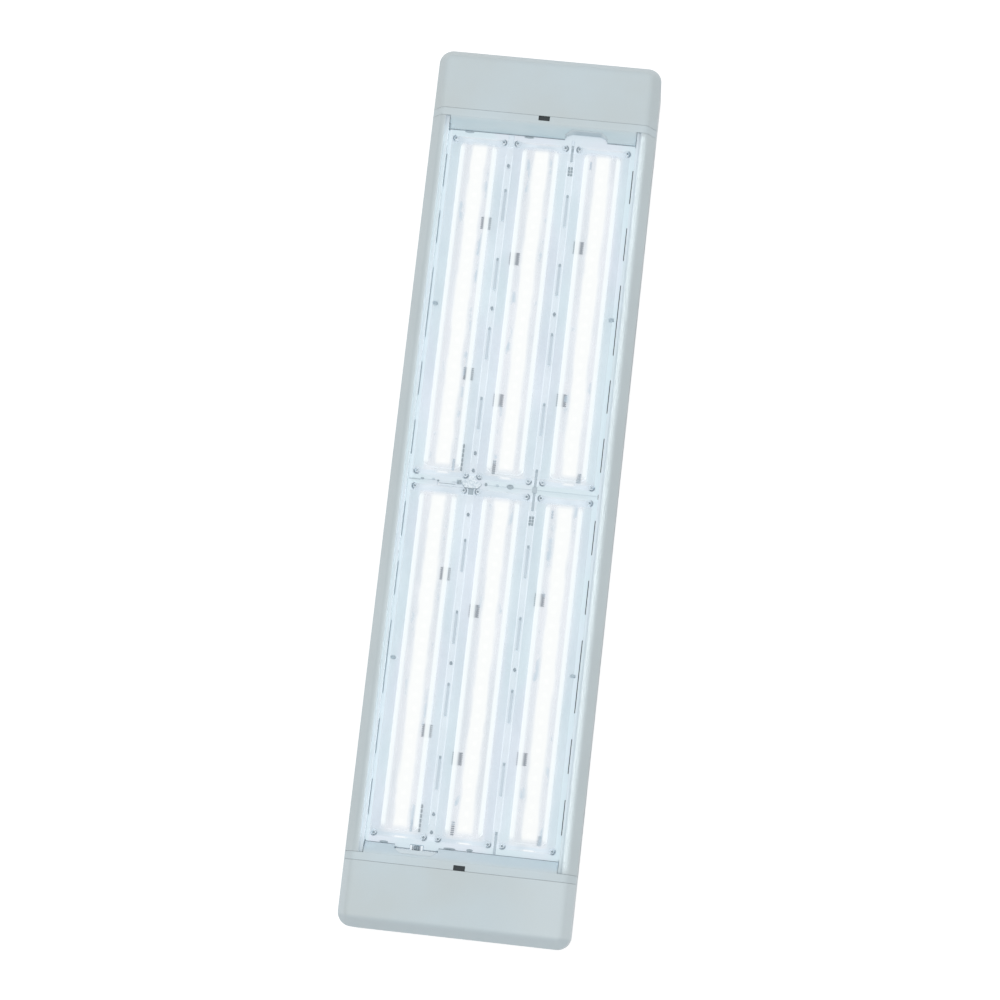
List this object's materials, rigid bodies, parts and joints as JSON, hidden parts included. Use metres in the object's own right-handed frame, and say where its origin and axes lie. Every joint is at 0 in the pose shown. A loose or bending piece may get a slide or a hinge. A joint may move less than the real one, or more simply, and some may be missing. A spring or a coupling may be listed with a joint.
{
  "type": "led utility light",
  "caption": "Long flat ceiling light: clear lens plates over lit LED rows in an extruded trough with sloped flanks, closed by moulded end caps with black release latches.",
  "frame": {"origin": "middle of the flat back, on the plane that meets the ceiling", "axes": "+Z out of the light face, +Y along the light towards the end at the top of the picture, +X across the lens rows"},
  "size_m": [0.18, 0.705, 0.06],
  "materials": {
    "housing": "pale grey powder coat on the extrusion",
    "moulding": "fine matt pale grey moulding",
    "latch": "matt black moulding",
    "lens": "clear moulded acrylic",
    "board": "white solder mask",
    "led": "lit phosphor",
    "dark_part": "matt dark moulding",
    "white_part": "matt white moulding",
    "cover": "matt pale grey clip",
    "screw": "zinc-plated steel",
    "plate": "pale grey coated steel sheet",
    "driver_case": "pale grey case",
    "grommet": "black rubber",
    "earth": "plain brass",
    "lead_white": "white insulation",
    "lead_grey": "grey sheath"
  },
  "bodies": {
    "root": {"back_plate": "plate", "board_chips_lower": "dark_part", "board_chips_upper": "dark_part", "board_links": "dark_part", "board_sockets_lower": "dark_part", "board_sockets_upper": "dark_part", "body_extrusion": "housing", "cable_grommet": "grommet", "driver": "driver_case", "driver_screws": "screw", "earth_stud": "earth", "end_cap_lower": "moulding", "end_cap_upper": "moulding", "end_frame_lower": "moulding", "end_frame_upper": "moulding", "feed_connector": "white_part", "feed_leads": "lead_white", "frame_screws_lower": "screw", "frame_screws_upper": "screw", "joint_cover": "cover", "latch_lower": "latch", "latch_upper": "latch", "led_board_lower": "board", "led_board_upper": "board", "led_row_lower_left": "led", "led_row_lower_middle": "led", "led_row_lower_right": "led", "led_row_upper_left": "led", "led_row_upper_middle": "led", "led_row_upper_right": "led", "lens_plate_lower": "lens", "lens_plate_upper": "lens", "lens_screws_lower": "screw", "lens_screws_upper": "screw", "mains_lead": "lead_grey", "plate_screws": "screw", "terminal_block": "white_part"}
  },
  "joints": []
}
